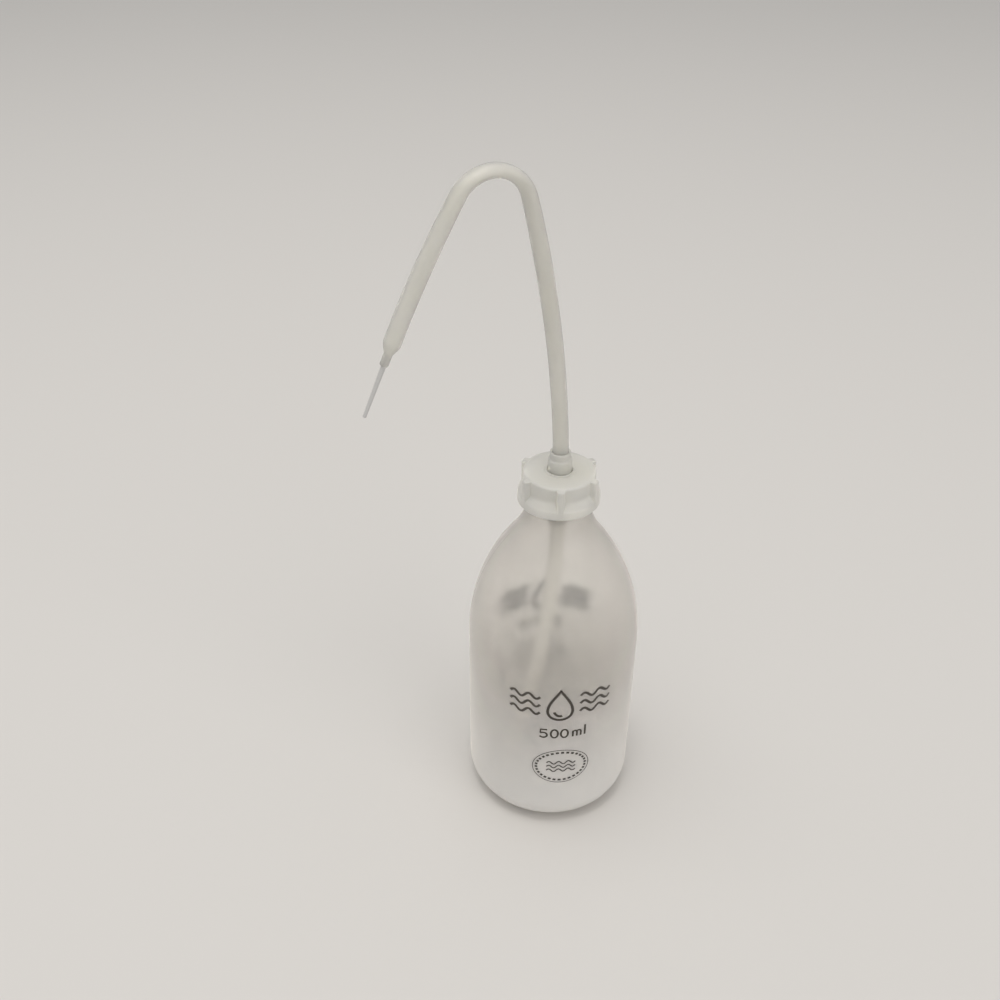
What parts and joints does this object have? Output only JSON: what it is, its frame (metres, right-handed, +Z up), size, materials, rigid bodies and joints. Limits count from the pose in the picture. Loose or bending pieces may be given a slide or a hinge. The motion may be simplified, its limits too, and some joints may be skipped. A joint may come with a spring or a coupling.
{
  "type": "wash bottle",
  "caption": "Round translucent squeeze bottle with a ribbed screw closure, a long bent spray spout ending in a fine jet tip, and a dip tube inside.",
  "frame": {"origin": "middle of the base, on the plane that the bottle stands on", "axes": "+Z up along the bottle's axis, -X towards the spout's tip, +Y to complete a right-handed frame"},
  "size_m": [0.1194, 0.075, 0.3026],
  "materials": {
    "bottle_plastic": "satin",
    "cap_plastic": "satin",
    "holder_plastic": "satin",
    "seal": "matte",
    "tube_plastic": "satin",
    "jet_plastic": "satin",
    "ink": "matte"
  },
  "bodies": {
    "bottle": {"bottle": "bottle_plastic"},
    "closure": {"tube_holder": "holder_plastic", "seal_ring": "seal", "dip_tube": "tube_plastic"},
    "cap": {"screw_cap": "cap_plastic"},
    "spout": {"spout_tube": "tube_plastic", "jet_tip": "jet_plastic"}
  },
  "joints": [
    {"name": "cap_lift", "type": "slide", "parent": "bottle", "child": "closure", "axis": [0, 0, 1], "range_m": [0, 0.0035]},
    {"name": "cap_turn", "type": "hinge", "parent": "closure", "child": "cap", "pos_m": [0, 0, 0.166], "axis": [0, 0, 1], "range_deg": [0, 420]},
    {"name": "spout_swivel", "type": "hinge", "parent": "closure", "child": "spout", "pos_m": [0, 0, 0.17], "axis": [0, 0, 1], "continuous": true}
  ],
  "couplings": [
    {"joint": "cap_lift", "follows": "cap_turn", "m_per_rad": 0.00047746}
  ]
}
